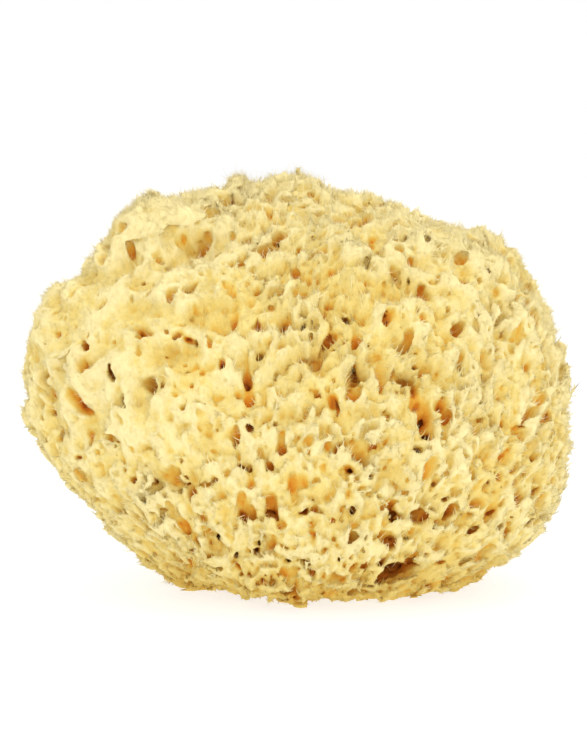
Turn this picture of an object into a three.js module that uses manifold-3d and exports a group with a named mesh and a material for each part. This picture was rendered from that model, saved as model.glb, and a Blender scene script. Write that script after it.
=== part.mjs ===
// Sea sponge, a dried natural bath sponge of the honeycomb kind, grown as one piece.
//
// Millimetres, +Z up. The sponge stands on the flat face where it was cut from the rock, and its
// broad side faces -Y. The skin is a smooth union of rounded lobes. The larger canals are real
// holes: they slant down and inwards, because the fibres fan out from the root under the sponge.

import * as THREE from "three";
import { mergeVertices } from "three/addons/utils/BufferGeometryUtils.js";
import Module from "manifold-3d";

const wasm = await Module();
wasm.setup();

// Driving dimensions.
const WIDTH = 152;
const DEPTH = 118;
const HEIGHT = 115;
const SKIN_DETAIL = 15; // each of the 20 starting faces becomes (SKIN_DETAIL + 1) squared
const BLEND = 9; // how far neighbouring lobes melt into each other
const BLEND_INSET = 0.55 * BLEND; // takes back what the melting adds to the lobes' size
const RELIEF = 1.1; // height of the low swellings all over the skin
const RELIEF_LENGTH = 17; // from one swelling to the next
const CANAL_SIDES = 9;
const CANAL_INWARDS = 1.3; // how much a canal points at the heart, against 1 for along the fibres
const HALVINGS = 40; // steps of the search for the skin

const HEART = new THREE.Vector3(0, 0, 54); // every part of the skin is in sight of it
const ROOT = new THREE.Vector3(-4, 6, -26); // where the fibres fan out from

// Lobes: centre, then half sizes along X, Y and Z.
const LOBES = [
  { name: "body", at: [2, 0, 53], half: [64, 50, 45] },
  { name: "crown", at: [0, 4, 83], half: [24, 28, 28] },
  { name: "crown_right", at: [21, -4, 78], half: [24, 30, 22] },
  { name: "left_shoulder", at: [-41, -2, 81], half: [15, 22, 21] },
  { name: "left_cheek", at: [-49, 0, 55], half: [25, 36, 26] },
  { name: "left_low", at: [-36, -2, 33], half: [25, 29, 18] },
  { name: "right_shoulder", at: [45, 2, 67], half: [27, 33, 24] },
  { name: "right_cheek", at: [46, -2, 43], half: [29, 38, 29] },
  { name: "right_low", at: [43, -4, 26], half: [25, 29, 17] },
  { name: "foot", at: [9, 0, 15], half: [49, 39, 26] },
  { name: "front_low", at: [6, -30, 36], half: [40, 25, 27] },
  { name: "front_left", at: [-30, -30, 50], half: [26, 24, 25] },
  { name: "front_high", at: [22, -31, 64], half: [26, 23, 24] },
  { name: "back_left", at: [-24, 34, 56], half: [31, 22, 29] },
  { name: "back_right", at: [28, 33, 46], half: [30, 23, 28] },
];

// Canals that show as dark holes: where the mouth lies seen along Y, its radius and its depth.
const FRONT_CANALS = [
  { x: -38, z: 61, radius: 2.6, depth: 15 },
  { x: -46, z: 58, radius: 2.0, depth: 11 },
  { x: -31, z: 75, radius: 1.4, depth: 10 },
  { x: -9, z: 71, radius: 2.2, depth: 12 },
  { x: -1.5, z: 76, radius: 2.5, depth: 15 },
  { x: 6, z: 75.5, radius: 2.1, depth: 13 },
  { x: 18, z: 74, radius: 1.9, depth: 11 },
  { x: 0.5, z: 64, radius: 1.8, depth: 12 },
  { x: 16, z: 65, radius: 2.0, depth: 12 },
  { x: 32, z: 65, radius: 3.0, depth: 14 },
  { x: 33, z: 88, radius: 2.2, depth: 10 },
  { x: 50, z: 63, radius: 2.0, depth: 12 },
  { x: 33, z: 48, radius: 2.4, depth: 15 },
  { x: 55, z: 48.5, radius: 2.0, depth: 11 },
  { x: 25, z: 29, radius: 2.4, depth: 14 },
  { x: 33, z: 27, radius: 2.9, depth: 9 },
  { x: -14, z: 43, radius: 1.9, depth: 12 },
  { x: -39, z: 37.5, radius: 1.9, depth: 10 },
  { x: -5, z: 30, radius: 1.9, depth: 12 },
  { x: 2, z: 16, radius: 2.3, depth: 12 },
  { x: -16, z: 104, radius: 2.8, depth: 9 },
];
const BACK_CANALS = [
  { x: -48, z: 66, radius: 2.4, depth: 13 },
  { x: -30, z: 82, radius: 2.2, depth: 11 },
  { x: -22, z: 48, radius: 2.7, depth: 14 },
  { x: -4, z: 68, radius: 2.3, depth: 13 },
  { x: 10, z: 92, radius: 2.5, depth: 11 },
  { x: 16, z: 40, radius: 2.5, depth: 14 },
  { x: 34, z: 66, radius: 2.6, depth: 13 },
  { x: 48, z: 42, radius: 2.1, depth: 11 },
];

const lobes = LOBES.map((lobe) => ({
  at: new THREE.Vector3(...lobe.at),
  half: new THREE.Vector3(...lobe.half),
}));

// Signed distance to one lobe, exact enough near its surface.
function lobeDistance(point, lobe) {
  const away = point.clone().sub(lobe.at).divide(lobe.half);
  const steep = away.clone().divide(lobe.half);
  const reach = away.length();
  return reach > 0 ? (reach * (reach - 1)) / steep.length() : -Math.min(...lobe.half);
}

// Low swellings, made of three slanting waves whose lengths share no common step.
function relief(point) {
  const turn = (2 * Math.PI) / RELIEF_LENGTH;
  const across = Math.sin(turn * (0.9 * point.x + 0.35 * point.z) + 0.7);
  const along = Math.sin(turn * (0.8 * point.z - 0.5 * point.y) + 2.1);
  const askew = Math.sin(turn * (0.7 * point.y + 0.6 * point.x) + 4.4);
  return RELIEF * (across * along + askew * across + along * askew);
}

// Signed distance to the skin: negative inside.
function skinDistance(point) {
  const closeness = lobes.reduce((sum, lobe) => sum + Math.exp(-lobeDistance(point, lobe) / BLEND), 0);
  return BLEND_INSET - BLEND * Math.log(closeness) - relief(point);
}

// How far to go from a point inside, along a direction, to reach the skin.
function distanceToSkin(from, direction) {
  let inside = 0;
  let outside = 2 * WIDTH;
  for (let step = 0; step < HALVINGS; step += 1) {
    const middle = (inside + outside) / 2;
    if (skinDistance(from.clone().addScaledVector(direction, middle)) < 0) inside = middle;
    else outside = middle;
  }
  return inside;
}

function solidOf(geometry) {
  const bare = geometry.clone();
  bare.deleteAttribute("normal");
  bare.deleteAttribute("uv");
  const merged = mergeVertices(bare, 1e-4);
  return new wasm.Manifold(
    new wasm.Mesh({
      numProp: 3,
      vertProperties: merged.attributes.position.array,
      triVerts: new Uint32Array(merged.index.array),
    }),
  );
}

function geometryOf(solid) {
  const mesh = solid.getMesh();
  const geometry = new THREE.BufferGeometry();
  geometry.setAttribute("position", new THREE.BufferAttribute(mesh.vertProperties, 3));
  geometry.setIndex(new THREE.BufferAttribute(mesh.triVerts, 1));
  return geometry;
}

// The whole skin as a closed ball of facets, each corner pushed out from the heart.
function skinGeometry() {
  const ball = new THREE.IcosahedronGeometry(1, SKIN_DETAIL);
  const corners = ball.attributes.position;
  const direction = new THREE.Vector3();
  for (let i = 0; i < corners.count; i += 1) {
    direction.fromBufferAttribute(corners, i).normalize();
    const reach = distanceToSkin(HEART, direction);
    corners.setXYZ(i, ...HEART.clone().addScaledVector(direction, reach));
  }
  return ball;
}

// Everything under the cut at z = 0.
function rockGeometry() {
  return new THREE.BoxGeometry(2 * WIDTH, 2 * DEPTH, HEIGHT).translate(0, 0, -HEIGHT / 2);
}

// One canal: a round hole that narrows to a blunt end. It starts just outside the skin.
function canalGeometry(canal, side) {
  const start = new THREE.Vector3(canal.x, 0, canal.z);
  const outwards = new THREE.Vector3(0, side, 0);
  const mouth = start.clone().addScaledVector(outwards, distanceToSkin(start, outwards));
  const fibres = mouth.clone().sub(ROOT).normalize();
  const fromHeart = mouth.clone().sub(HEART).normalize();
  const axis = fibres.add(fromHeart.multiplyScalar(CANAL_INWARDS)).normalize();
  const lead = 3 * canal.radius;
  const profile = [
    new THREE.Vector2(0, -canal.depth),
    new THREE.Vector2(0.45 * canal.radius, -0.93 * canal.depth),
    new THREE.Vector2(0.8 * canal.radius, -0.5 * canal.depth),
    new THREE.Vector2(1.15 * canal.radius, lead),
    new THREE.Vector2(0, lead),
  ];
  const hole = new THREE.LatheGeometry(profile, CANAL_SIDES);
  const turn = new THREE.Quaternion().setFromUnitVectors(new THREE.Vector3(0, 1, 0), axis);
  return hole.applyQuaternion(turn).translate(...mouth);
}

function spongeGeometry() {
  let solid = solidOf(skinGeometry()).subtract(solidOf(rockGeometry()));
  for (const canal of FRONT_CANALS) solid = solid.subtract(solidOf(canalGeometry(canal, -1)));
  for (const canal of BACK_CANALS) solid = solid.subtract(solidOf(canalGeometry(canal, 1)));
  return geometryOf(solid);
}

// Brings the box to its stated size, with the origin at the middle of its underside.
function fitted(geometry) {
  geometry.computeBoundingBox();
  const { min, max } = geometry.boundingBox;
  geometry.translate(-(min.x + max.x) / 2, -(min.y + max.y) / 2, -min.z);
  geometry.scale(WIDTH / (max.x - min.x), DEPTH / (max.y - min.y), HEIGHT / (max.z - min.z));
  return geometry;
}

const spongin = new THREE.MeshStandardMaterial({ color: 0xe8cf88, roughness: 0.9, metalness: 0 });
const sponge = new THREE.Mesh(fitted(spongeGeometry()), spongin);
sponge.name = "sponge";

const part = new THREE.Group();
part.add(sponge);

export default part;
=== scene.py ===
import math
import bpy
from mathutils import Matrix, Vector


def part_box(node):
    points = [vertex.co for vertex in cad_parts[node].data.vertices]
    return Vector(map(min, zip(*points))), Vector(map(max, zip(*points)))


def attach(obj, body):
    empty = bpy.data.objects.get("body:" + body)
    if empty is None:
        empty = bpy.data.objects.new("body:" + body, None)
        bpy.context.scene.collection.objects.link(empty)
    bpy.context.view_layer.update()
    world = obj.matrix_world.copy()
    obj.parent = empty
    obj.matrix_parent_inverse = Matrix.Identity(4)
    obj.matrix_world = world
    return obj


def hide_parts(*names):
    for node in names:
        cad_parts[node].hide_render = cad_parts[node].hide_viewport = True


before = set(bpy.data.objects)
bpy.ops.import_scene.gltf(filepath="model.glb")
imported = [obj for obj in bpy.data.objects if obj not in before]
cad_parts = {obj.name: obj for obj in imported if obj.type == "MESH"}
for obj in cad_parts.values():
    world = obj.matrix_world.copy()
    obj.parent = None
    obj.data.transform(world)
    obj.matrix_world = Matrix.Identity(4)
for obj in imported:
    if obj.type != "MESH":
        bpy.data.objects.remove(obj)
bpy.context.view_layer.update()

# A dried natural bath sponge of the honeycomb kind, standing on its flat cut face.
#
# No mesh operator grows a skeleton of joined cells, so the sponge is carved as its cells grew: the CAD
# sponge gives a solid of distances, slanting cells, canals and pores are taken out of it one by one, and
# what is left between them is meshed. Lengths are in millimetres until a mesh is made of them.

from concurrent.futures import ThreadPoolExecutor

import bmesh
import bpy
import numpy as np
import openvdb
from mathutils import Vector

MM = 0.001
STEP = 0.5  # edge of one voxel
COARSE = 2.5  # edge of one cell of the smooth fields that the voxels read
MARGIN = 5.0  # free room round the sponge
KNOWN = 25  # how far from the CAD sponge's skin its distances are worked out
FAR = 9.0  # stands for anything further away than matters
DEEPEST = 14  # no streak is needed deeper than this under the skin
PROUDEST = 4  # or further outside it

ROOT = np.array([-4.0, 6.0, -26.0])  # where the fibres fan out from, under the sponge
FAN_REACH = 85.0  # distance from the root at which a cell has its stated width
FAN_STRETCH = 0.36  # width of a cell against its length along the fibres
SKIN_TRIANGLES = 196_000
SEED = 7  # of whatever is placed one by one; each smooth field has a seed of its own


# ---------------------------------------------------------------- the solid of distances

LOWEST, HIGHEST = (np.array(corner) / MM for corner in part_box("sponge"))
CORNER = np.floor((LOWEST - MARGIN) / COARSE) * COARSE
SHAPE = tuple(np.ceil((HIGHEST - LOWEST + 2 * MARGIN + COARSE) / STEP).astype(int))
AXES = [CORNER[k] + STEP * np.arange(SHAPE[k], dtype=np.float32) for k in range(3)]
LATTICE = [int((SHAPE[k] - 1) * STEP / COARSE) + 4 for k in range(3)]


def spline_shares(count, spacing):
    """Where each voxel along one axis lies in a lattice, and how the four points round it share in it."""
    at = np.arange(count) * STEP / spacing
    cell = np.floor(at).astype(int)
    part = (at - cell).astype(np.float32)
    second = 3 * part**3 - 6 * part**2 + 4
    third = 1 + 3 * part + 3 * part**2 - 3 * part**3
    return cell, [share / 6 for share in ((1 - part) ** 3, second, third, part**3)]


def spread(lattice, spacing):
    """A lattice's values as one smooth field over all voxels. It starts one spacing before the corner."""
    field = lattice.astype(np.float32)
    for axis in (2, 1, 0):
        cell, shares = spline_shares(SHAPE[axis], spacing)
        form = [-1 if k == axis else 1 for k in range(3)]
        wider = 0
        for k, share in enumerate(shares):
            wider = wider + field.take(cell + k, axis) * share.reshape(form)
        field = wider
    return field


def lumps(length, seed):
    """Smooth random swellings about so far apart, with a spread of 1."""
    sizes = [spline_shares(SHAPE[k], length)[0][-1] + 4 for k in range(3)]
    field = spread(np.random.default_rng(seed).standard_normal(sizes), length)
    return field / field[::7, ::7, ::7].std()


def lattice_places():
    """Where the coarse lattice's points lie."""
    return np.meshgrid(*(CORNER[k] + COARSE * (np.arange(LATTICE[k]) - 1) for k in range(3)), indexing="ij")


def cad_distance():
    """Signed distance to the CAD sponge on the coarse lattice, negative inside."""
    shape = bmesh.new()
    shape.from_mesh(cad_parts["sponge"].data)
    bmesh.ops.remove_doubles(shape, verts=shape.verts, dist=MM * 0.001)
    corners = np.array([corner.co for corner in shape.verts], np.float32) / MM
    faces = np.array([[corner.index for corner in face.verts] for face in shape.faces], np.uint32)
    shape.free()
    solid = openvdb.FloatGrid.createLevelSetFromPolygons(
        corners,
        triangles=faces,
        transform=openvdb.createLinearTransform(voxelSize=COARSE),
        halfWidth=KNOWN / COARSE,
    )
    distance = np.zeros(LATTICE, np.float32)
    first = np.round(CORNER / COARSE).astype(int) - 1
    solid.copyToArray(distance, ijk=tuple(int(i) for i in first))
    return distance


def blurred(field, times):
    """Each lattice value averaged with its neighbours along each axis."""
    for _ in range(times):
        for k in range(3):
            padded = np.concatenate((field.take([0], k), field, field.take([-1], k)), k)
            length = field.shape[k]
            before, here, after = (padded.take(range(i, i + length), k) for i in range(3))
            field = (before + 2 * here + after) / 4
    return field


def read_at(field, places):
    """A field's values at places given in millimetres."""
    at = (places - CORNER) / STEP
    cell = np.clip(np.floor(at).astype(int), 0, np.array(SHAPE) - 2)
    part = np.clip(at - cell, 0, 1)
    total = 0.0
    for corner in np.ndindex(2, 2, 2):
        share = np.prod(np.where(corner, part, 1 - part), 1)
        i, j, k = (cell + corner).T
        total = total + share * field[i, j, k]
    return total


def dotted(x, y, z, way):
    """How far places lie along a direction, all in single precision."""
    return x * np.float32(way[0]) + y * np.float32(way[1]) + z * np.float32(way[2])


def unit(vectors):
    return vectors / np.maximum(np.linalg.norm(vectors, axis=-1, keepdims=True), 1e-9)


def slope_at(field, places):
    """The direction in which a field grows fastest."""
    ways = [
        read_at(field, places + step) - read_at(field, places - step)
        for step in np.eye(3) * 2 * STEP
    ]
    return unit(np.stack(ways, 1))


# Regions of the skin seen along Y: the middle, then the half sizes, in X and Z.
SOFT_LEFT = (-50, 74), (42, 38)
SOFT_RIGHT = (44, 84), (30, 20)
FINE_LOW = (4, 22), (42, 26)
COMB_RIGHT = (66, 34), (26, 26)


def bump(x, z, middle, half):
    """1 at the middle, falling smoothly to 0 beyond the half sizes."""
    reach = ((x - middle[0]) / half[0]) ** 2 + ((z - middle[1]) / half[1]) ** 2
    return np.exp(-(reach**1.5))


def softness(x, y, z):
    """Where the walls are thick, smooth and few: the upper left, and less so the upper right."""
    return np.maximum(bump(x, z, *SOFT_LEFT), 0.5 * bump(x, z, *SOFT_RIGHT))


def fineness(x, y, z):
    """Where the cells are small and crowded: low in the middle."""
    return bump(x, z, *FINE_LOW)


def combness(x, y, z):
    """Where thin walls stand side by side as in a comb: low on the right."""
    return bump(x, z, *COMB_RIGHT)


rng = np.random.default_rng(SEED)
lx, ly, lz = lattice_places()
skin = spread(blurred(cad_distance(), 2), COARSE)
soft = spread(softness(lx, ly, lz), COARSE)
fine = spread(fineness(lx, ly, lz), COARSE)


# ---------------------------------------------------------------- cells

def scattered(spacing, lengthening, tries):
    """Points on the skin, no two of them closer than their spacing, or further apart along the fibres."""
    near = np.flatnonzero(np.abs(skin) < 0.5 * STEP)
    chosen = rng.choice(near, min(tries, len(near)), replace=False)
    voxels = np.stack(np.unravel_index(chosen, SHAPE), 1)
    places = CORNER + STEP * (voxels + rng.uniform(-0.5, 0.5, (len(chosen), 3)))
    fibres = unit(places - ROOT)
    gaps = spacing(*places.T)
    long = lengthening(*places.T)
    kept = np.zeros((len(places), 3))
    count = 0
    rows = []
    for i, place in enumerate(places):
        away = kept[:count] - place
        along = away @ fibres[i]
        reach = (away**2).sum(1) - (1 - 1 / long[i] ** 2) * along**2
        if count == 0 or reach.min() > gaps[i] ** 2:
            kept[count] = place
            count += 1
            rows.append(i)
    return places[rows]


def wandering(k):
    """One coordinate of every voxel, bent a little, so that what is laid out in it looks grown."""
    straight = AXES[k].reshape([-1 if k == i else 1 for i in range(3)])
    slow = np.float32(0.75) * lumps(4.5, 31 + k)
    quick = np.float32(0.3) * lumps(2.2, 34 + k)
    return straight + slow + quick


BENT = [wandering(k) for k in range(3)]
CELL_EDGE = 2.0  # how far round a cell the distances to it are worked out
AXIS_WILD = 0.25  # how far a cell's axis strays
SIDE_WILD = 0.4  # how far its flat side does


class Cells:
    """For each voxel, how far it lies outside the nearest cell and the second nearest."""

    def __init__(self):
        self.near = np.full(SHAPE, FAR, np.float32)
        self.second = np.full(SHAPE, FAR, np.float32)

    def add(self, mouth, axis, side, radius, depth, rise, taper, squash):
        """Takes out one blind tube. It opens at its mouth, rises past it, and tapers to its round end."""
        ends = np.stack((mouth + rise * axis, mouth - depth * axis))
        first = np.floor((ends.min(0) - radius - CELL_EDGE - CORNER) / STEP).astype(int)
        last = np.ceil((ends.max(0) + radius + CELL_EDGE - CORNER) / STEP).astype(int) + 1
        first = np.clip(first, 0, SHAPE)
        last = np.clip(last, 0, SHAPE)
        if np.any(last <= first):
            return
        window = tuple(slice(a, b) for a, b in zip(first, last))
        x, y, z = (bent[window] - np.float32(m) for bent, m in zip(BENT, mouth))
        along = np.clip(dotted(x, y, z, axis), -depth, rise)
        x, y, z = (across - along * np.float32(a) for across, a in zip((x, y, z), axis))
        away = x * x + y * y + z * z + np.float32(squash**2 - 1) * dotted(x, y, z, side) ** 2
        distance = np.sqrt(away) - radius * (1 + taper * along / depth)
        near, second = self.near[window], self.second[window]
        np.minimum(second, np.maximum(near, distance), out=second)
        np.minimum(near, distance, out=near)


def add_cells(cells, places, radii, depths, lean, tapers, squashes, rise):
    """Takes out a tube at each place. lean is how much it points along the fibres, against 1 outwards."""
    fibres = unit(places - ROOT)
    out = slope_at(skin, places)
    axes = unit(lean[:, None] * fibres + out + AXIS_WILD * rng.standard_normal(places.shape))
    sides = unit(np.cross(axes, fibres) + SIDE_WILD * rng.standard_normal(places.shape))
    sides = unit(sides - (sides * axes).sum(1, keepdims=True) * axes)
    for place, axis, side, radius, depth, taper, squash in zip(
        places, axes, sides, radii, depths, tapers, squashes
    ):
        cells.add(place, axis, side, radius, depth, rise, taper, squash)


# Pits: the shallow cells of the honeycomb. Their radius and depth go by their spacing.
PIT_TRIES = 16_000
PIT_RADII = 0.12, 0.28
PIT_DEPTHS = 0.15, 0.48
PIT_LEANS = 0.7, 2.0
PIT_TAPERS = 0.1, 0.5
PIT_SQUASHES = 0.9, 1.7
PIT_RISE = 2.0


def pit_spacing(x, y, z):
    """From one pit to the next."""
    return 7.4 + 2.0 * softness(x, y, z) - 2.6 * fineness(x, y, z) - 1.0 * combness(x, y, z)


def pit_length(x, y, z):
    """How much further apart the pits are along the fibres than across them."""
    return 1.7 - 0.7 * softness(x, y, z) - 0.5 * fineness(x, y, z)


pits = Cells()
places = scattered(pit_spacing, pit_length, PIT_TRIES)
spacing = pit_spacing(*places.T)
softly = softness(*places.T)
finely = fineness(*places.T)
count = len(places)
add_cells(
    pits,
    places,
    radii=spacing * rng.uniform(*PIT_RADII, count) * (1 - 0.1 * softly),
    depths=spacing * rng.uniform(*PIT_DEPTHS, count) * (1 - 0.3 * softly) * (1 - 0.3 * finely),
    lean=rng.uniform(*PIT_LEANS, count) * (1 - 0.6 * softly),
    tapers=rng.uniform(*PIT_TAPERS, count),
    squashes=rng.uniform(*PIT_SQUASHES, count),
    rise=PIT_RISE,
)

# Canals of the front: mouth in X and Z seen along Y, radius, depth, how much it leans, and how flat it is.
FRONT_CANALS = [
    (-38.6, 61.0, 2.3, 10, 0.7, 1.0),
    (-46.0, 58.3, 1.7, 8, 0.9, 1.0),
    (-31.4, 74.6, 1.0, 6, 0.3, 1.0),
    (-51.0, 81.5, 1.6, 6, 0.3, 1.0),
    (-33.0, 91.8, 1.4, 5, 0.4, 0.8),
    (-29.0, 84.9, 1.1, 4, 0.3, 1.0),
    (-26.0, 96.0, 2.4, 4, 0.5, 1.0),
    (-19.8, 95.4, 1.5, 4, 0.4, 0.9),
    (-13.5, 100.0, 1.8, 5, 0.8, 0.8),
    (-17.5, 105.5, 2.8, 4, 0.8, 0.7),
    (-6.0, 107.0, 2.4, 3, 0.6, 0.6),
    (10.4, 103.5, 2.6, 3, 0.8, 0.8),
    (-4.5, 99.5, 2.0, 4, 0.8, 0.8),
    (-48.0, 100.0, 3.0, 5, 0.8, 1.0),
    (-41.0, 75.8, 2.2, 4, 0.4, 1.0),
    (-11.0, 88.5, 1.3, 6, 0.6, 1.2),
    (-9.3, 72.2, 1.9, 8, 1.2, 1.3),
    (-1.6, 77.5, 1.6, 10, 1.6, 1.3),
    (6.0, 75.8, 1.5, 8, 1.2, 1.1),
    (17.6, 74.4, 1.3, 8, 1.3, 1.3),
    (25.6, 90.2, 1.4, 7, 1.0, 1.3),
    (32.5, 86.0, 1.7, 8, 1.5, 1.2),
    (0.6, 64.8, 1.2, 8, 1.0, 1.5),
    (-12.6, 63.6, 1.2, 8, 0.8, 1.4),
    (16.2, 65.8, 1.7, 9, 1.4, 1.3),
    (29.8, 61.8, 2.1, 10, 1.7, 1.2),
    (32.0, 67.6, 1.6, 7, 1.6, 1.3),
    (42.2, 69.6, 1.6, 7, 1.4, 1.3),
    (52.5, 70.2, 1.4, 7, 0.8, 1.0),
    (49.7, 63.3, 1.7, 8, 1.2, 1.1),
    (60.3, 82.0, 2.6, 4, 0.6, 0.7),
    (33.6, 50.0, 1.8, 10, 1.7, 1.3),
    (31.2, 45.0, 1.4, 9, 1.6, 1.3),
    (55.3, 48.3, 1.5, 8, 1.6, 1.4),
    (25.0, 29.0, 1.9, 9, 0.5, 1.0),
    (24.5, 21.7, 1.6, 7, 1.0, 1.0),
    (32.5, 26.7, 3.2, 4, 0.8, 0.8),
    (38.6, 31.1, 0.8, 5, 0.3, 1.0),
    (14.8, 40.3, 1.5, 7, 0.8, 1.0),
    (58.0, 30.0, 1.5, 7, 0.9, 1.1),
    (63.0, 30.9, 1.6, 6, 0.9, 1.1),
    (68.3, 45.0, 1.7, 7, 1.6, 1.2),
    (54.2, 34.2, 1.3, 6, 0.9, 1.0),
    (2.0, 15.4, 1.7, 8, 0.5, 0.9),
    (-3.7, 14.3, 1.3, 7, 0.5, 1.0),
    (-38.9, 37.0, 1.5, 6, 0.8, 1.2),
    (-43.1, 28.4, 1.4, 7, 0.7, 1.6),
    (-14.3, 42.2, 1.5, 8, 0.9, 1.2),
    (-8.7, 42.2, 1.3, 6, 0.9, 1.0),
    (-15.1, 50.3, 1.3, 5, 0.3, 1.0),
    (-5.1, 53.0, 1.4, 6, 0.9, 1.1),
    (-5.1, 29.5, 1.4, 8, 0.4, 1.0),
    (-20.9, 19.5, 1.4, 6, 0.5, 1.2),
    (-15.1, 16.8, 1.3, 7, 0.6, 1.0),
    (-37.0, 44.2, 1.3, 4, 0.5, 1.3),
    (-49.4, 46.1, 1.1, 4, 0.4, 1.0),
    (-59.7, 56.6, 2.4, 4, 0.8, 0.8),
    (-66.6, 53.6, 1.8, 5, 0.5, 0.9),
    (25.6, 10.0, 4.2, 10, 0.3, 0.6),
    (-3.0, 4.5, 2.2, 8, 0.2, 0.9),
]


def front_mouths(canals):
    """Where the canals' mouths lie: on the skin, straight along Y from the front."""
    ys = AXES[1]
    mouths = []
    for x, z, *_ in canals:
        line = np.stack((np.full_like(ys, x), ys, np.full_like(ys, z)), 1)
        inside = np.flatnonzero(read_at(skin, line) < 0)
        mouths.append((x, ys[inside[0]] if len(inside) else 0.0, z))
    return np.array(mouths)


CANAL_RISE = 3.0
FRONT_TAPER = 0.25
canals = Cells()
mouths = front_mouths(FRONT_CANALS)
radii, depths, leans, squashes = np.array(FRONT_CANALS)[:, 2:].T
add_cells(canals, mouths, radii, depths, leans, np.full(len(mouths), FRONT_TAPER), squashes, CANAL_RISE)

# Canals everywhere else. They stay off the crown's left corner, so narrow that one would cut through it.
CANAL_TRIES = 4_000
CANAL_RADII = 1.0, 2.4
CANAL_DEPTHS = 6, 14
CANAL_LEANS = 0.4, 1.4
CANAL_TAPERS = 0.1, 0.4
CANAL_SQUASHES = 0.9, 1.5
FRONT_FACES = -0.45  # the skin belongs to the front where its outward Y is below this
FRONT_EDGE = 62  # and where it is no further than this from the middle
NARROW_X, NARROW_HALF, NARROW_Z = -19, 9, 103


def canal_spacing(x, y, z):
    """From one canal to the next."""
    return 11.5 + 2 * softness(x, y, z)


def canal_length(x, y, z):
    """How much further apart the canals are along the fibres than across them."""
    return 1.0 + 0.3 * (x > 0)


others = scattered(canal_spacing, canal_length, CANAL_TRIES)
out = slope_at(skin, others)
elsewhere = (out[:, 1] > FRONT_FACES) | (np.abs(others[:, 0]) > FRONT_EDGE)
narrow = (np.abs(others[:, 0] - NARROW_X) < NARROW_HALF) & (others[:, 2] > NARROW_Z)
others = others[elsewhere & ~narrow]
count = len(others)
add_cells(
    canals,
    others,
    radii=rng.uniform(*CANAL_RADII, count),
    depths=rng.uniform(*CANAL_DEPTHS, count),
    lean=rng.uniform(*CANAL_LEANS, count),
    tapers=rng.uniform(*CANAL_TAPERS, count),
    squashes=rng.uniform(*CANAL_SQUASHES, count),
    rise=CANAL_RISE,
)


# ---------------------------------------------------------------- streaks and scales


def fan_places(places, stretch=FAN_STRETCH):
    """Places with their distance from the root drawn in, so that a pattern runs long along the fibres."""
    away = places - ROOT.astype(places.dtype)
    reach = np.linalg.norm(away, axis=-1, keepdims=True)
    return away / reach * (FAN_REACH + stretch * (reach - FAN_REACH)).astype(places.dtype)


TABLE_SIZE = 64
TABLE_SPREAD = 0.55  # spread of the values read smoothly from a table whose own spread is 1
BLOCKS = 64  # pieces of work that the threads share


def table_read(table, places):
    """A repeating table of random values, read smoothly at places whose unit is one table step."""
    cell = np.floor(places).astype(np.int32)
    part = places - cell
    part = part * part * (3 - 2 * part)
    ends = cell % TABLE_SIZE, (cell + 1) % TABLE_SIZE
    shares = 1 - part, part
    total = 0
    for i, j, k in np.ndindex(2, 2, 2):
        row = (ends[i][:, 0] * TABLE_SIZE + ends[j][:, 1]) * TABLE_SIZE + ends[k][:, 2]
        total = total + shares[i][:, 0] * shares[j][:, 1] * shares[k][:, 2] * table[row]
    return total


def streaks(places, width, seed):
    """Random values at fan places, in streaks about so wide along the fibres, with a spread of 1."""
    table = np.random.default_rng(seed).standard_normal(TABLE_SIZE**3).astype(np.float32)
    blocks = np.array_split(places, BLOCKS)
    with ThreadPoolExecutor() as workers:
        found = list(workers.map(lambda block: table_read(table, block / np.float32(width)), blocks))
    field = np.zeros(SHAPE, np.float32)
    field.ravel()[near_skin] = np.concatenate(found) / TABLE_SPREAD
    return field


LONG_STRETCH = 0.16  # of the thin streaks, the longest
POCKET_STRETCH = 0.42
PORE_STRETCH = 0.5
near_skin = np.flatnonzero((skin > -DEEPEST) & (skin < PROUDEST))
places = np.stack(np.unravel_index(near_skin, SHAPE), 1).astype(np.float32) * np.float32(STEP)
places += CORNER.astype(np.float32)
fan = fan_places(places)
long_fan = fan_places(places, LONG_STRETCH)
fine_streaks = streaks(long_fan, 1.3, 11)
wide_streaks = streaks(fan, 2.8, 12)
pocket_streaks = streaks(fan_places(places, POCKET_STRETCH), 2.7, 15)
pore_streaks = streaks(fan_places(places, PORE_STRETCH), 1.3, 16)


SCALE_TRIES = 30_000
SCALE_WILD = 0.15  # how far a scale's way strays from the fibres'
SCALE_HEIGHTS = 0.6, 1.3  # from the middle of a scale to its free edge
SCALE_LIFTS = -0.5, 0.5  # of the whole scale
SCALE_REACH = 0.85  # how far round a scale its relief is worked out, against its length
SCALE_LEAN = 0.7  # how far its free edge leans over, against its height above the skin
SCALE_DEPTH = 6  # how little a place's height above a scale counts against its place on it


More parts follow.
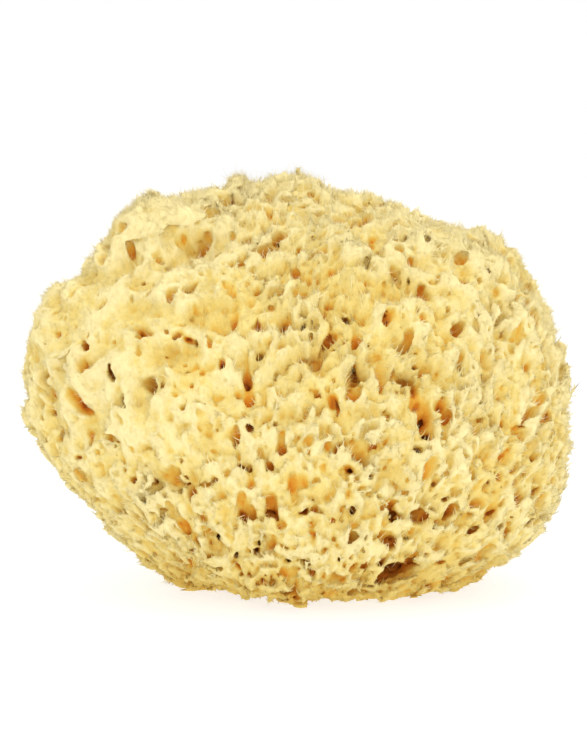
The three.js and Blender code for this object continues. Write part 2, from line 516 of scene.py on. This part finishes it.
def scaled_relief(spacing, length):
    """Overlapping scales like a pine cone's. Each rises along the fibres and leans over the next."""
    places = scattered(spacing, length, SCALE_TRIES)
    outs = slope_at(skin, places)
    fibres = unit(places - ROOT)
    ways = fibres - (fibres * outs).sum(1, keepdims=True) * outs
    ways = unit(ways + SCALE_WILD * rng.standard_normal(places.shape))
    sides = np.cross(outs, ways)
    widths = spacing(*places.T)
    longs = length(*places.T) * widths
    heights = rng.uniform(*SCALE_HEIGHTS, len(places))
    lifts = rng.uniform(*SCALE_LIFTS, len(places))
    near = np.full(SHAPE, FAR, np.float32)
    relief = np.zeros(SHAPE, np.float32)
    for place, out, way, side, width, long, height, lift in zip(
        places, outs, ways, sides, widths, longs, heights, lifts
    ):
        reach = SCALE_REACH * long
        first = np.clip(np.floor((place - reach - CORNER) / STEP).astype(int), 0, SHAPE)
        last = np.clip(np.ceil((place + reach - CORNER) / STEP).astype(int) + 1, 0, SHAPE)
        window = tuple(slice(a, b) for a, b in zip(first, last))
        x, y, z = (bent[window] - np.float32(m) for bent, m in zip(BENT, place))
        up = dotted(x, y, z, out)
        along = (dotted(x, y, z, way) - SCALE_LEAN * up) / np.float32(long)
        across = dotted(x, y, z, side) / np.float32(width)
        distance = along * along + across * across + (up / SCALE_DEPTH) ** 2
        closer = distance < near[window]
        near[window][closer] = distance[closer]
        slope = np.clip(2 * along, -1, 1) * np.float32(height) + np.float32(lift)
        relief[window][closer] = slope[closer]
    return relief


def scale_spacing(x, y, z):
    """Width of a scale."""
    return 4.0 + 1.5 * softness(x, y, z) - 1.0 * fineness(x, y, z)


def scale_length(x, y, z):
    """Length of a scale against its width."""
    return 1.9 - 0.5 * softness(x, y, z) - 0.6 * fineness(x, y, z)


scales = scaled_relief(scale_spacing, scale_length)


# ---------------------------------------------------------------- the carving

# Where the outline swells or draws in beyond the CAD solid: middle and half sizes in X and Z, and how far.
SWELLINGS = [
    (-36, 106, 17, 11, 4.2),
    (-6, 118, 16, 10, 1.0),
    (-22, 109, 8, 9, 2.4),
    (50, 98, 22, 16, 2.4),
    (74, 40, 10, 24, 1.0),
    (-74, 68, 10, 20, 1.8),
    (-62, 24, 12, 14, -1.6),
    (62, 20, 12, 10, 1.8),
]


def both(a, b, rounding):
    """The larger of two fields, with the crease rounded off."""
    gap = np.clip(0.5 + 0.5 * (a - b) / rounding, 0, 1)
    return b + (a - b) * gap + rounding * gap * (1 - gap)


FORM_INSET = 0.2  # taken off the skin, because the relief stands out by about as much
FORM_LUMPS = 0.7  # height of the low swellings of the skin
SCORE = 0.25  # depth of the thin grooves along the fibres
PORE_DEPTH = 1.0
CUT = 0.02  # height of the cut face above the floor, so that its mesh doesn't dip under it

# What is taken out: pits with walls of uneven thickness between them, pockets just under the skin where
# streaks are strong, and canals.
wall = 0.35 + 0.55 * lumps(5.0, 21) + 0.5 * soft
hollow = np.maximum(pits.near, wall - 0.5 * (pits.second - pits.near))
hollow = hollow + 0.28 * wide_streaks * (1 - 0.6 * soft)
pockets = 1.2 * (0.9 + 0.36 * np.abs(-skin - 0.7) + 0.9 * soft + 0.3 * fine - pocket_streaks)
hollow = np.minimum(hollow, pockets)
hollow = np.minimum(hollow, canals.near + 0.2 * wide_streaks)

# What it is taken out of: the swollen skin with its crests and scales, or where it is soft its lumps and
# bowls.
crests = 0.8 - np.abs(streaks(fan, 4.0, 13)) - 0.6 * np.abs(streaks(long_fan, 2.0, 14))
bowls = 0.75 - np.abs(lumps(6.0, 25))
form = skin + FORM_INSET - FORM_LUMPS * lumps(9.0, 22)
for x, z, half_x, half_z, push in SWELLINGS:
    swelling = bump(AXES[0][:, None], AXES[2][None, :], (x, z), (half_x, half_z)).astype(np.float32)
    form -= push * swelling[:, None, :]
relief = (0.4 + 0.4 * soft) * lumps(3.3, 23) + 0.18 * lumps(1.9, 26)
relief = relief + (0.6 * crests + 0.85 * scales) * (1 - 0.75 * soft - 0.3 * fine)
relief = relief + 1.3 * bowls * (0.15 + 0.85 * soft)
outer = form - relief

# What is left, with rounded edges, then its grooves, its pores and its cut face.
rounding = (0.4 + 0.8 * soft).astype(np.float32)
solid = both(outer, -hollow, rounding)
solid = solid - SCORE * fine_streaks * (1 - 0.5 * soft)
pores = 0.6 * (1.45 + 0.8 * soft - pore_streaks)
pored = np.maximum(pores, -(solid + PORE_DEPTH))
solid = both(solid, -pored, 0.25)
solid = np.maximum(solid, -AXES[2][None, None, :] + CUT)


# ---------------------------------------------------------------- meshes

def largest_island(corners, quads):
    """Drops the crumbs that the carving cut loose, and the bubbles that it left inside."""
    island = np.arange(len(corners))
    while True:
        lowest = island[quads].min(1)
        joined = island.copy()
        for k in range(4):
            np.minimum.at(joined, quads[:, k], lowest)
            np.minimum.at(joined, island[quads[:, k]], lowest)
        joined = joined[joined]
        if np.array_equal(joined, island):
            break
        island = joined
    main = np.bincount(island).argmax()
    kept = island == main
    place = np.cumsum(kept) - 1
    return corners[kept], place[quads[kept[quads[:, 0]]]]


def mesh_of(name, corners, faces):
    """A mesh from arrays of corners in millimetres and of faces that all have as many corners."""
    mesh = bpy.data.meshes.new(name)
    mesh.vertices.add(len(corners))
    mesh.vertices.foreach_set("co", (corners * MM).astype(np.float32).ravel())
    mesh.loops.add(faces.size)
    mesh.loops.foreach_set("vertex_index", faces.astype(np.int32).ravel())
    mesh.polygons.add(len(faces))
    mesh.polygons.foreach_set("loop_start", np.arange(0, faces.size, faces.shape[1], dtype=np.int32))
    mesh.update(calc_edges=True)
    return mesh


def meshed(field, name):
    """The surface where a field is 0, as a mesh in metres."""
    edge = 3 * STEP
    grid = openvdb.FloatGrid(edge)
    grid.transform = openvdb.createLinearTransform(voxelSize=STEP)
    grid.copyFromArray(np.clip(field, -edge, edge), ijk=tuple(int(i) for i in np.round(CORNER / STEP)))
    corners, _, quads = grid.convertToPolygons(isovalue=0, adaptivity=0)
    corners, quads = largest_island(corners, quads.astype(np.int64))
    return mesh_of(name, corners, quads)


def shown(mesh):
    piece = bpy.data.objects.new(mesh.name, mesh)
    bpy.context.scene.collection.objects.link(piece)
    return piece


def thinned(piece, triangles):
    """Collapses edges, flattest first, until the piece has so many triangles."""
    piece.data.calc_loop_triangles()
    thin = piece.modifiers.new("thin", "DECIMATE")
    thin.ratio = min(1.0, triangles / len(piece.data.loop_triangles))
    thin.use_collapse_triangulate = True
    bpy.context.view_layer.update()
    result = bpy.data.meshes.new_from_object(piece.evaluated_get(bpy.context.evaluated_depsgraph_get()))
    piece.modifiers.clear()
    old = piece.data
    name = old.name
    piece.data = result
    bpy.data.meshes.remove(old)
    result.name = name


skin_piece = shown(meshed(solid, "sponge_skeleton"))
thinned(skin_piece, SKIN_TRIANGLES)
for corner in skin_piece.data.vertices:
    corner.co.z = max(corner.co.z, 0)
skin_piece.data.shade_smooth()


def corners_of(piece):
    places = np.empty(3 * len(piece.data.vertices), np.float32)
    piece.data.vertices.foreach_get("co", places)
    return places.reshape(-1, 3) / MM


def give(piece, name, values):
    """Keeps one number for each of a piece's corners, for its material to read."""
    layer = piece.data.attributes.new(name, "FLOAT", "POINT")
    layer.data.foreach_set("value", np.asarray(values, np.float32))


def box_mean(field, half):
    """The mean of a field over a cube of voxels."""
    for k in range(3):
        total = np.cumsum(field, axis=k, dtype=np.float64)
        length = field.shape[k]
        after = np.minimum(np.arange(length) + half, length - 1)
        before = np.arange(length) - half - 1
        low = np.where(before >= 0, 1.0, 0.0)
        low = low.reshape([-1 if i == k else 1 for i in range(3)])
        sums = total.take(after, k) - total.take(np.maximum(before, 0), k) * low
        field = (sums / (2 * half + 1)).astype(np.float32)
    return field


# depth under the outer relief at which the painted shade of a hole is full
DARKEST_DEPTH = 6
PAINTED_SHADE_FOOT_HEIGHT = 17  # painted shade darkens the cut foot up to here, for the shade near the floor
PAINTED_LIGHT_TOP_FROM, PAINTED_LIGHT_TOP_OVER = 78, 35  # painted light makes the top paler from here on, over so much height
WIDE_AROUND = 3.0  # half a box that spans a whole cell
NEAR_AROUND = 1.2  # half a box that spans a wall


def tone_and_painted_shading_at(places):
    """How dark and orange the spongin is drawn: darker and more orange with depth and where solid stands
    close round it, partly its own deeper colour inside and partly painted shade, with a painted amber glow
    for light through the thin walls; painted shade at the cut foot, painted light on the top, and random
    patches.
    """
    # deep, sunk, crowded and pinched paint shade into holes, bowls and narrow places, where light falls off
    deep = np.clip(-read_at(outer, places) / DARKEST_DEPTH, 0, 1)
    sunk = np.clip(-read_at(form, places), -1.5, 2.5)
    crowded = np.clip((read_at(crowding, places) - 0.35) / 0.5, 0, 1)
    pinched = np.clip((read_at(closeness, places) - 0.56) / 0.3, 0, 1)
    # painted shade: the lowest part darker and browner, as shade falls there near the floor
    painted_foot_shade = np.clip(1 - places[:, 2] / PAINTED_SHADE_FOOT_HEIGHT, 0, 1)
    # painted light: the top paler, as more light falls on it
    top = np.clip((places[:, 2] - PAINTED_LIGHT_TOP_FROM) / PAINTED_LIGHT_TOP_OVER, 0, 1)
    tone_and_painted_shading = 0.02 + 0.64 * deep + 0.05 * sunk + 0.12 * crowded + 0.3 * pinched + 0.26 * painted_foot_shade - 0.05 * top
    return tone_and_painted_shading + 0.03 * read_at(patches, places)


def map_in_cells(piece):
    """Gives each triangle its own place in a square map, two to a cell, so that none of them overlap."""
    count = len(piece.data.polygons)
    side = math.ceil(math.sqrt(count / 2))
    cell = np.arange(count) // 2
    corner = np.stack((cell % side, cell // side), 1)
    lower = np.array([(0.08, 0.08), (0.84, 0.08), (0.08, 0.84)])
    forms = np.stack((lower, 1 - lower))
    places = (corner[:, None, :] + forms[np.arange(count) % 2]) / side
    layer = piece.data.uv_layers.new(name="OFBake")
    layer.data.foreach_set("uv", places.astype(np.float32).ravel())


# How much solid stands round each voxel, over a whole cell and over a wall: the tone paints shade in by
# them, as light falls off in narrow places; crowding also says where fibres stand.
crowding = box_mean((solid < 0).astype(np.float32), int(round(WIDE_AROUND / STEP)))
closeness = box_mean((solid < 0).astype(np.float32), int(round(NEAR_AROUND / STEP)))
patches = lumps(13.0, 51)
places = corners_of(skin_piece)
# the skin's tone, with painted shade in its holes and at its foot and painted light on its top
give(skin_piece, "tone_and_painted_shading", tone_and_painted_shading_at(places))
layer = skin_piece.data.attributes.new("fan", "FLOAT_VECTOR", "POINT")
layer.data.foreach_set("vector", fan_places(places).astype(np.float32).ravel())
map_in_cells(skin_piece)


# ---------------------------------------------------------------- fibres

FIBRE_SWIRL = 0.5  # how much the fibres follow the wander of the cells
FIBRE_RINGS = (-0.25, 1.0), (0.5, 0.75)  # where along a fibre, its root under the skin, and how thick
FIBRE_SIDE = 1.7  # how far its shading is its own round one, against 1 of the skin's under it
FIBRE_TONES = 0.08  # how far its tone strays from the skin's
FLOOR_GAP = 0.03  # no fibre hangs lower than this


def surface_of(piece):
    """A piece's triangles as an array of corners in millimetres, and their outward normals and areas."""
    piece.data.calc_loop_triangles()
    faces = np.empty(3 * len(piece.data.loop_triangles), np.int32)
    piece.data.loop_triangles.foreach_get("vertices", faces)
    corners = corners_of(piece)[faces.reshape(-1, 3)]
    square = np.cross(corners[:, 1] - corners[:, 0], corners[:, 2] - corners[:, 0])
    return corners, unit(square), np.linalg.norm(square, axis=1) / 2


def rooted(count, wanted):
    """Random places on the skin and its normals there. wanted says how thickly each triangle is set."""
    share = AREAS * wanted
    chosen = rng.choice(len(share), count, p=share / share.sum())
    u, v = rng.random((2, count, 1))
    past = u + v > 1
    u, v = np.where(past, 1 - u, u), np.where(past, 1 - v, v)
    a, b, c = TRIANGLES[chosen].transpose(1, 0, 2)
    return a + u * (b - a) + v * (c - a), NORMALS[chosen]


def swirl_at(places):
    """The slow wander of the cells at these places, which the fibres share."""
    return np.stack([read_at(bent, places) for bent in BENT], 1) - places


def spikes(name, places, normals, along, out, wild, lengths, widths, bend):
    """Closed three-sided spikes joined in one mesh: straight ones of 4 faces, or bent ones of 10."""
    count = len(places)
    ways = along * unit(places - ROOT) + out * normals + wild * rng.standard_normal(places.shape)
    ways = unit(ways + FIBRE_SWIRL * swirl_at(places))
    lengths = rng.uniform(*lengths, (count, 1)) * (0.6 + 0.8 * rng.random((count, 1)) ** 2)
    widths = rng.uniform(*widths, (count, 1))
    side = unit(np.cross(ways, rng.standard_normal(places.shape)))
    other = np.cross(ways, side)
    curl = bend * lengths * unit(rng.standard_normal(places.shape) + (0, 0, 0.6))
    rings = []
    facing = []
    for at, thick in FIBRE_RINGS if bend else FIBRE_RINGS[:1]:
        middle = places + at * lengths * ways + max(at, 0) ** 2 * curl
        for k in range(3):
            turn = 2 * math.pi * k / 3
            away = math.cos(turn) * side + math.sin(turn) * other
            rings.append(middle + thick * widths / 2 * away)
            facing.append(unit(FIBRE_SIDE * away + normals))
    rings.append(places + lengths * ways + curl)
    facing.append(unit(ways + normals))
    corners = np.stack(rings, 1)
    corners[..., 2] = np.maximum(corners[..., 2], FLOOR_GAP)
    faces = [(0, 2, 1)]
    for k in range(3):
        after = (k + 1) % 3
        if bend:
            faces += [(k, after, 3 + after), (k, 3 + after, 3 + k), (3 + k, 3 + after, 6)]
        else:
            faces += [(k, after, 3)]
    each = corners.shape[1]
    faces = (np.arange(count)[:, None, None] * each + np.array(faces)).reshape(-1, 3)
    heights = np.array([0, 0, 0, 0.5, 0.5, 0.5, 1] if bend else [0, 0, 0, 1], np.float32)
    # each fibre takes the tone of the skin under it, with its painted shade and painted light
    tone_and_painted_shading = np.clip(tone_and_painted_shading_at(places) + rng.uniform(-FIBRE_TONES, FIBRE_TONES, count), 0.01, 0.99)
    uv = np.stack(np.broadcast_arrays(tone_and_painted_shading[:, None], 0.02 + 0.96 * heights[None, :]), -1).reshape(-1, 2)
    piece = shown(mesh_of(name, corners.reshape(-1, 3), faces))
    layer = piece.data.uv_layers.new(name="OFBake")
    layer.data.foreach_set("uv", uv[faces.ravel()].astype(np.float32).ravel())
    piece.data.shade_smooth()
    piece.data.normals_split_custom_set_from_vertices(np.stack(facing, 1).reshape(-1, 3))
    return piece


TRIANGLES, NORMALS, AREAS = surface_of(skin_piece)
MIDDLES = TRIANGLES.mean(1)

# Nap stands on whatever is shallow or an edge, fuzz most of all near the top, and lips on edges lower down.
below = np.clip(-read_at(outer, MIDDLES), 0, 9)
edges = np.clip(1.1 - read_at(crowding, MIDDLES), 0.1, 0.9)
height = MIDDLES[:, 2] / round(float(HIGHEST[2]))
shallow = np.clip(1.15 - below / 1.6, 0.04, 1)
off_the_cut = np.clip(MIDDLES[:, 2] / 3, 0, 1)
softly = read_at(soft, MIDDLES)
nap_wanted = shallow * edges * (0.5 + height) * off_the_cut
fuzz_wanted = nap_wanted * (0.15 + height**2)
lips_wanted = nap_wanted * edges**2 * (1 - 0.8 * softly) * (1.2 - height)

# Name, where and how many, how much they point along the fibres, outwards and anywhere, their lengths and
# widths, and how much they bend.
FIBRE_KINDS = [
    ("nap_short", nap_wanted, 48_000, 0.8, 0.2, 0.4, (0.5, 1.2), (0.12, 0.26), 0),
    ("nap", nap_wanted, 48_000, 0.8, 0.2, 0.4, (0.6, 1.6), (0.12, 0.26), 0),
    ("fuzz", fuzz_wanted, 48_000, 0.6, 0.7, 0.65, (1.3, 3.7), (0.08, 0.17), 0),
    ("lips", lips_wanted, 19_000, 0.9, 0.2, 0.35, (1.0, 2.5), (0.2, 0.4), 0.5),
]
FIBRES = []
for name, wanted, count, along, out, wild, lengths, widths, bend in FIBRE_KINDS:
    places, normals = rooted(count, wanted)
    FIBRES.append(spikes(name, places, normals, along, out, wild, lengths, widths, bend))


# ---------------------------------------------------------------- materials

def linear(code):
    """An sRGB hex colour as the linear numbers that shaders use."""
    parts = [int(code[i : i + 2], 16) / 255 for i in (1, 3, 5)]
    return [p / 12.92 if p <= 0.04045 else ((p + 0.055) / 1.055) ** 2.4 for p in parts] + [1.0]


def add(tree, kind, settings=None, **inputs):
    """Adds a node with its properties and inputs, by name or as i0, i1 and so on, and links sockets."""
    node = tree.nodes.new(kind)
    for name, value in (settings or {}).items():
        setattr(node, name, value)
    for name, value in inputs.items():
        numbered = name[0] == "i" and name[1:].isdigit()
        socket = node.inputs[int(name[1:]) if numbered else name.replace("_", " ")]
        if isinstance(value, bpy.types.NodeSocket):
            tree.links.new(value, socket)
        else:
            socket.default_value = value
    return node


def new_material(name):
    """An empty material with nodes."""
    material = bpy.data.materials.new(name)
    material.use_nodes = True
    material.node_tree.nodes.clear()
    return material


# Spongin, the sponge's own horn-like fibre, bleached in the sun: straw at its outer edges, and amber to
# brown further along, which the tone uses partly for its own deeper colour inside and partly as painted
# shade and a painted glow of light through its walls in the holes.
SPONGIN_TONES = [
    (0.0, "#F4E4A8"),
    (0.12, "#EDD788"),
    (0.25, "#E8CB70"),
    (0.4, "#E5BB54"),
    (0.54, "#E2A63E"),
    (0.7, "#D88A2A"),
    (0.86, "#C07024"),
    (1.0, "#8E4C1A"),
]
GRAINS_PER_MM = 1.1  # felted fibres are some 0.03 mm thick, too fine to show, so they are drawn coarser
GRAIN_RELIEF = 0.6 * MM
GRAIN_SHADE = 0.3  # how much the grain changes the tone
GRAIN_MEAN = 0.13  # about what that adds on the whole, taken back
TIP_PALER = -0.1  # how much a hair's tone changes from root to tip


def dry_spongin(tree, tone_and_painted_shading, **inputs):
    """The finish of grown, dried fibre: coloured by its tone, which carries painted shade and painted light
    as well as the spongin's own colour, and rough with hardly any gloss.
    """
    colour = add(tree, "ShaderNodeValToRGB", Fac=tone_and_painted_shading)
    stops = colour.color_ramp.elements
    while len(stops) < len(SPONGIN_TONES):
        stops.new(1)
    for stop, (place, code) in zip(stops, SPONGIN_TONES):
        stop.position = place
        stop.color = linear(code)
    inputs.update(Base_Color=colour.outputs["Color"], Roughness=0.9, Specular_IOR_Level=0.08)
    shader = add(tree, "ShaderNodeBsdfPrincipled", **inputs)
    add(tree, "ShaderNodeOutputMaterial", Surface=shader.outputs[0])


def spongin_skeleton():
    """Spongin grown as felted walls and dried: dull, grainy along the fibres, and drawn orange and darker
    down in the holes, partly its own colour and partly painted shade and painted glow.
    """
    material = new_material("spongin_skeleton")
    tree = material.node_tree
    tone_and_painted_shading = add(tree, "ShaderNodeAttribute", {"attribute_name": "tone_and_painted_shading"}).outputs["Fac"]
    fan = add(tree, "ShaderNodeAttribute", {"attribute_name": "fan"}).outputs["Vector"]
    grain = add(tree, "ShaderNodeTexNoise", Vector=fan, Scale=GRAINS_PER_MM, Detail=4.0, Roughness=0.7)
    grain = grain.outputs["Fac"]
    shade = add(tree, "ShaderNodeMath", {"operation": "MULTIPLY_ADD"}, i0=grain, i1=GRAIN_SHADE, i2=tone_and_painted_shading)
    shade = add(tree, "ShaderNodeMath", {"operation": "SUBTRACT"}, i0=shade.outputs[0], i1=GRAIN_MEAN)
    uneven = add(tree, "ShaderNodeBump", Strength=0.6, Distance=GRAIN_RELIEF, Height=grain)
    dry_spongin(tree, shade.outputs[0], Normal=uneven.outputs["Normal"])
    return material


def spongin_fibre():
    """Spongin grown as single hairs: the same dull straw. Their map holds the tone, with the painted
    shading of the skin under them, and the way to a tip.
    """
    material = new_material("spongin_fibre")
    tree = material.node_tree
    place = add(tree, "ShaderNodeUVMap", {"uv_map": "OFBake"}).outputs["UV"]
    parts = add(tree, "ShaderNodeSeparateXYZ", Vector=place).outputs
    tone_and_painted_shading, up = parts["X"], parts["Y"]
    paled = add(tree, "ShaderNodeMath", {"operation": "MULTIPLY_ADD"}, i0=up, i1=TIP_PALER, i2=tone_and_painted_shading)
    dry_spongin(tree, paled.outputs[0])
    return material


def white_card():
    """Smooth white card with light behind it, so that it shows hardly any shade."""
    material = new_material("white_card")
    tree = material.node_tree
    shader = add(
        tree,
        "ShaderNodeBsdfPrincipled",
        Base_Color=linear("#A6A6A6"),
        Roughness=0.7,
        Specular_IOR_Level=0.1,
        Emission_Color=(1, 1, 1, 1),
        Emission_Strength=0.72,
    )
    add(tree, "ShaderNodeOutputMaterial", Surface=shader.outputs[0])
    return material


def finish(piece, material):
    """Gives a piece its material and says what it belongs to: it rides on the sponge and replaces it."""
    piece.data.materials.clear()
    piece.data.materials.append(material)
    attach(piece, "root")
    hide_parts("sponge")


finish(skin_piece, spongin_skeleton())
fibre_material = spongin_fibre()
for piece in FIBRES:
    finish(piece, fibre_material)


# ---------------------------------------------------------------- stage

FLOOR_HALF = 4.0  # metres from here on
AIM = Vector((-0.0011, 0, 0.0590))
DISTANCE = 0.7
RISE = math.radians(6)
TALL_VIEW = 0.2078  # what the camera takes in from top to bottom, at the sponge
SENSOR = 24


def make_floor():
    mesh = bmesh.new()
    bmesh.ops.create_grid(mesh, x_segments=1, y_segments=1, size=FLOOR_HALF)
    data = bpy.data.meshes.new("floor")
    mesh.to_mesh(data)
    mesh.free()
    floor = shown(data)
    floor.data.materials.append(white_card())


def make_lamp(name, place, target, size, power):
    data = bpy.data.lights.new(name, "AREA")
    data.shape = "DISK"
    data.size = size
    data.energy = power
    lamp = bpy.data.objects.new(name, data)
    lamp.location = place
    lamp.rotation_euler = (Vector(target) - Vector(place)).to_track_quat("-Z", "Y").to_euler()
    bpy.context.scene.collection.objects.link(lamp)


def make_camera():
    data = bpy.data.cameras.new("camera")
    camera = bpy.data.objects.new("camera", data)
    bpy.context.scene.collection.objects.link(camera)
    camera.location = AIM + DISTANCE * Vector((0, -math.cos(RISE), math.sin(RISE)))
    camera.rotation_euler = (AIM - camera.location).to_track_quat("-Z", "Y").to_euler()
    data.sensor_fit = "VERTICAL"
    data.sensor_height = SENSOR
    data.angle_y = 2 * math.atan(TALL_VIEW / 2 / DISTANCE)
    data.clip_start = 0.01
    bpy.context.scene.camera = camera


def make_world():
    world = bpy.data.worlds.new("white_room")
    bpy.context.scene.world = world
    world.use_nodes = True
    background = world.node_tree.nodes["Background"]
    background.inputs["Color"].default_value = (1, 1, 1, 1)
    background.inputs["Strength"].default_value = 1.0


make_floor()
make_world()
make_camera()
make_lamp("front", (0.08, -0.75, 0.22), (0, 0, 0.06), 0.25, 1.0)
make_lamp("top", (0, 0, 0.85), (0, 0, 0.08), 0.6, 1.5)
make_lamp("left", (-0.6, 0.05, 0.3), (0, 0, 0.07), 0.6, 0.35)
make_lamp("right", (0.6, 0.05, 0.3), (0, 0, 0.07), 0.6, 0.6)
bpy.context.scene.view_settings.view_transform = "Standard"
